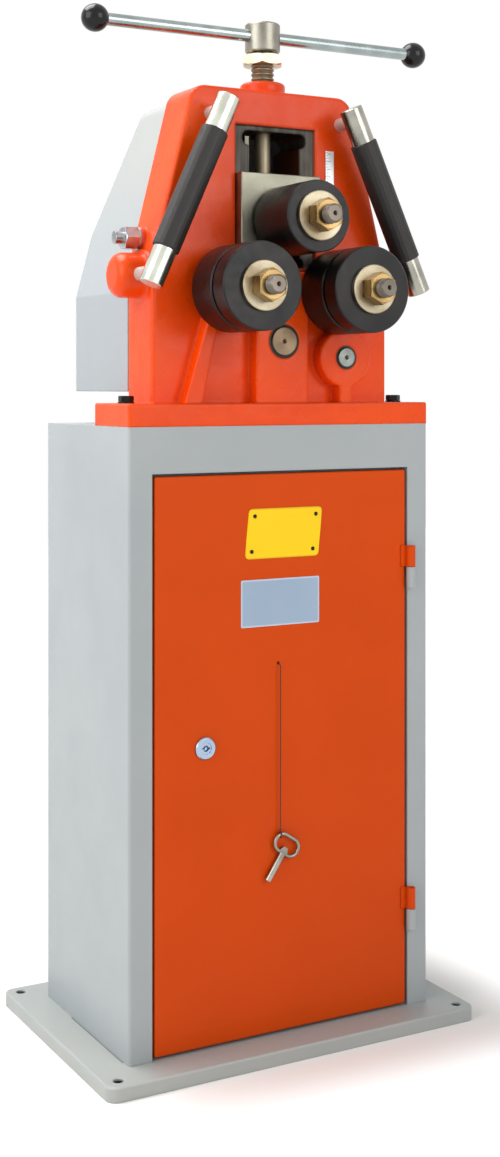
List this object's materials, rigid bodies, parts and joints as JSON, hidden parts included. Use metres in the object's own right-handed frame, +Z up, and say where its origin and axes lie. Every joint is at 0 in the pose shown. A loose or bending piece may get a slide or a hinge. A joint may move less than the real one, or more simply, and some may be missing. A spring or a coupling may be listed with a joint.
{
  "type": "ring roller",
  "caption": "Ring roller: cast head with overhung rolls, screw-fed top roll with T-bar, handles and rear crank, on a sheet-metal cabinet with a locking door.",
  "frame": {"origin": "on the floor, in the middle of the base tray", "axes": "+X to the right of an operator who faces the rolls, +Y to the back, +Z up"},
  "size_m": [0.532, 0.507, 1.32],
  "materials": {
    "orange_paint": "glossy orange-red enamel",
    "grey_paint": "satin grey powder coat",
    "light_grey_paint": "satin light grey powder coat",
    "machined_steel": "ground and milled",
    "gear_steel": "hobbed, lightly oiled",
    "dark_steel": "blackened, semi-gloss",
    "black_oxide": "black oxide",
    "yellow_zinc": "yellow zinc plated",
    "bright_zinc": "bright zinc plated",
    "tube_steel": "bright plated",
    "chrome": "polished",
    "bronze": "turned bronze",
    "bearing_iron": "dark cast iron",
    "black_plastic": "glossy black",
    "black_rubber": "ribbed matt black",
    "yellow_plate": "yellow enamel, bare",
    "silver_plate": "satin silver, bare",
    "string": "thin dark cord"
  },
  "bodies": {
    "stand": {"base_tray": "grey_paint", "cabinet_shell": "grey_paint", "head_casting": "orange_paint", "head_bolts": "black_oxide", "rear_cover": "light_grey_paint", "cover_screws": "black_oxide", "frame_hinges": "grey_paint", "hinge_pins": "machined_steel", "shaft_bushes": "bronze", "outboard_bearing": "bearing_iron", "spindle_bush": "bronze", "position_scale": "machined_steel", "gib_strip": "machined_steel", "gib_adjuster": "bright_zinc", "handle_tubes": "tube_steel", "handle_grips": "black_rubber", "handle_studs": "bright_zinc"},
    "door": {"door_panel": "orange_paint", "door_hinges": "orange_paint", "name_plate": "yellow_plate", "plate_rivets": "black_oxide", "label_plate": "silver_plate", "lock_body": "chrome", "lock_nut": "bright_zinc"},
    "lock": {"lock_barrel": "chrome", "lock_cam": "bright_zinc"},
    "key_pendulum": {"key_string": "string", "string_knots": "string", "cabinet_key": "bright_zinc"},
    "slider": {"slider_block": "machined_steel", "slider_keeper": "machined_steel", "keeper_screws": "black_oxide", "top_roll_bushes": "bronze", "spindle_retainer": "machined_steel"},
    "spindle_bar": {"spindle": "bright_zinc", "spindle_lock_nut": "yellow_zinc", "tbar_hub": "bright_zinc", "tbar_rod": "chrome", "tbar_knobs": "black_plastic"},
    "top_roll": {"top_shaft": "machined_steel", "top_roller": "dark_steel", "top_roller_washer": "yellow_zinc", "top_roller_nut": "yellow_zinc"},
    "left_roll": {"left_shaft": "machined_steel", "left_roller_rear": "dark_steel", "left_roller_front": "dark_steel", "left_roller_washer": "yellow_zinc", "left_roller_nut": "yellow_zinc", "left_roll_gear": "gear_steel"},
    "right_roll": {"right_shaft": "machined_steel", "right_roller_rear": "dark_steel", "right_roller_front": "dark_steel", "right_roller_washer": "yellow_zinc", "right_roller_nut": "yellow_zinc", "right_roll_gear": "gear_steel"},
    "intermediate": {"mid_shaft": "gear_steel", "mid_wheel": "gear_steel"},
    "input": {"input_shaft": "gear_steel", "crank_arm": "black_oxide"},
    "crank_grip": {"crank_grip": "black_plastic"}
  },
  "joints": [
    {"name": "door_swing", "type": "hinge", "parent": "stand", "child": "door", "pos_m": [0.19, -0.1385, 0.4], "axis": [0, 0, 1], "range_deg": [0, 165]},
    {"name": "lock_turn", "type": "hinge", "parent": "door", "child": "lock", "pos_m": [-0.116, -0.1325, 0.394], "axis": [0, -1, 0], "range_deg": [0, 90]},
    {"name": "key_swing", "type": "hinge", "parent": "door", "child": "key_pendulum", "pos_m": [-0.0105, -0.1325, 0.4916], "axis": [0, 1, 0], "range_deg": [-30, 30]},
    {"name": "top_slide", "type": "slide", "parent": "stand", "child": "slider", "axis": [0, 0, 1], "range_m": [-0.02, 0.05]},
    {"name": "spindle_turn", "type": "hinge", "parent": "slider", "child": "spindle_bar", "pos_m": [0, -0.0725, 1.2], "axis": [0, 0, 1], "range_deg": [-1200, 3000]},
    {"name": "top_roll_spin", "type": "hinge", "parent": "slider", "child": "top_roll", "pos_m": [0, -0.0725, 1.0555], "axis": [0, 1, 0], "continuous": true},
    {"name": "left_roll_spin", "type": "hinge", "parent": "stand", "child": "left_roll", "pos_m": [-0.079, -0.0725, 0.967], "axis": [0, 1, 0], "continuous": true},
    {"name": "right_roll_spin", "type": "hinge", "parent": "stand", "child": "right_roll", "pos_m": [0.079, -0.0725, 0.967], "axis": [0, 1, 0], "continuous": true},
    {"name": "intermediate_spin", "type": "hinge", "parent": "stand", "child": "intermediate", "pos_m": [0, -0.0725, 0.90248], "axis": [0, 1, 0], "continuous": true},
    {"name": "crank_turn", "type": "hinge", "parent": "stand", "child": "input", "pos_m": [0.0939, -0.0725, 0.8825], "axis": [0, 1, 0], "continuous": true},
    {"name": "crank_grip_spin", "type": "hinge", "parent": "input", "child": "crank_grip", "pos_m": [0.0939, 0.2, 0.6825], "axis": [0, 1, 0], "continuous": true}
  ],
  "couplings": [
    {"joint": "top_slide", "follows": "spindle_turn", "m_per_rad": 0.00095493},
    {"joint": "intermediate_spin", "follows": "crank_turn", "ratio": -0.33333},
    {"joint": "left_roll_spin", "follows": "crank_turn", "ratio": 0.18182},
    {"joint": "right_roll_spin", "follows": "crank_turn", "ratio": 0.18182}
  ]
}
